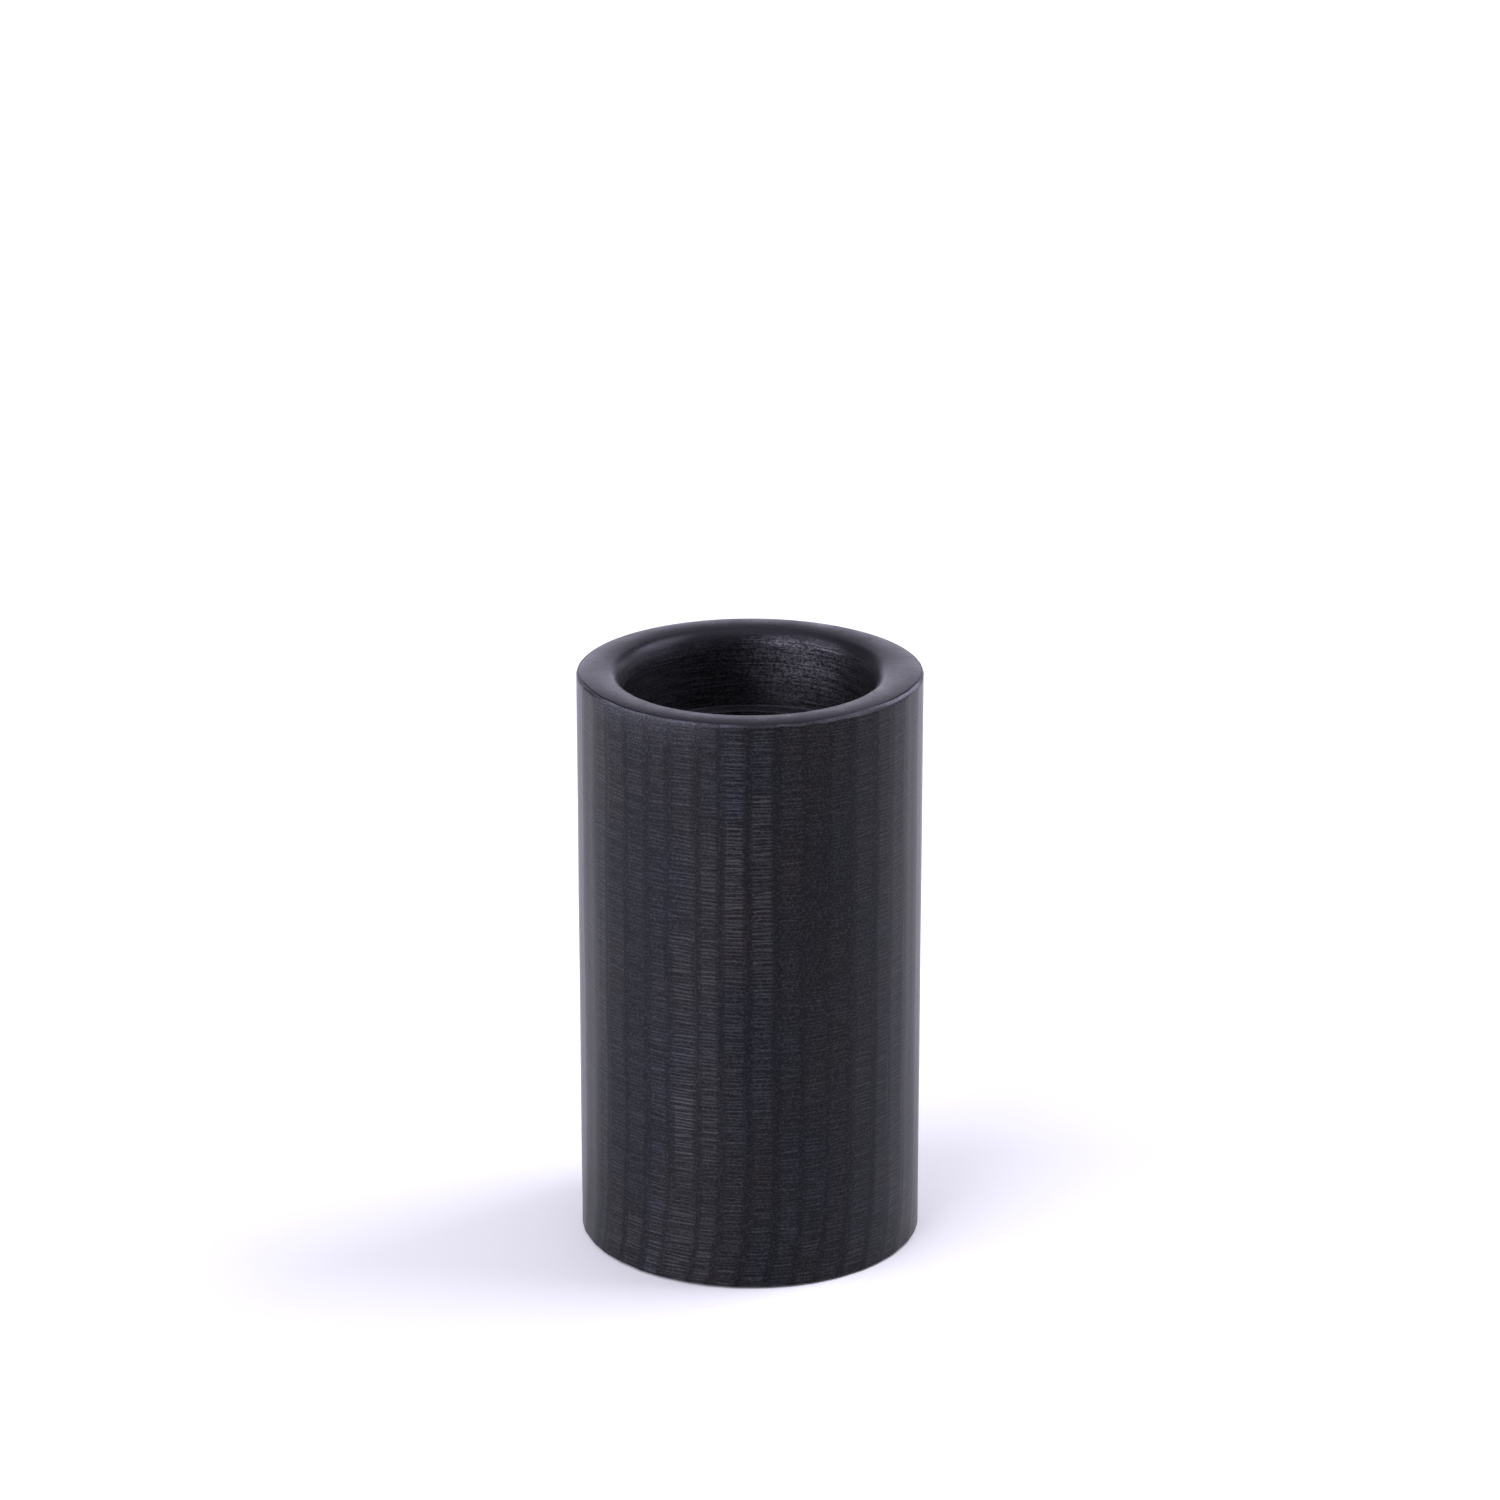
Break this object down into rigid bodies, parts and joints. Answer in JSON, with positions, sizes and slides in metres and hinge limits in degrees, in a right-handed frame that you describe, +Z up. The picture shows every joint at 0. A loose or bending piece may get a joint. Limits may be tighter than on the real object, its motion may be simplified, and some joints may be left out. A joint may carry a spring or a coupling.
{
  "type": "pillar candle holder",
  "caption": "Black cylindrical candle holder with narrow ground flats down its side, a smooth rolled rim and a shallow stepped well for a pillar candle.",
  "frame": {"origin": "centre of the underside, where the rubber pad meets the table", "axes": "+Z up along the holder's axis; X and Y are alike, with a facet corner on +X"},
  "size_m": [0.07, 0.07, 0.1205],
  "materials": {
    "ground_black_metal": "blackened, satin, ground by hand in upright flats with fine cross marks",
    "turned_black_metal": "blackened, smooth satin",
    "brushed_black_metal": "blackened, brushed round the bore",
    "plate_black_metal": "blackened, turned face",
    "pad_rubber": "matt"
  },
  "bodies": {
    "root": {"outer_sleeve": "ground_black_metal", "rim_collar": "turned_black_metal", "candle_cup": "brushed_black_metal", "base_plate": "plate_black_metal", "base_pad": "pad_rubber"}
  },
  "joints": []
}
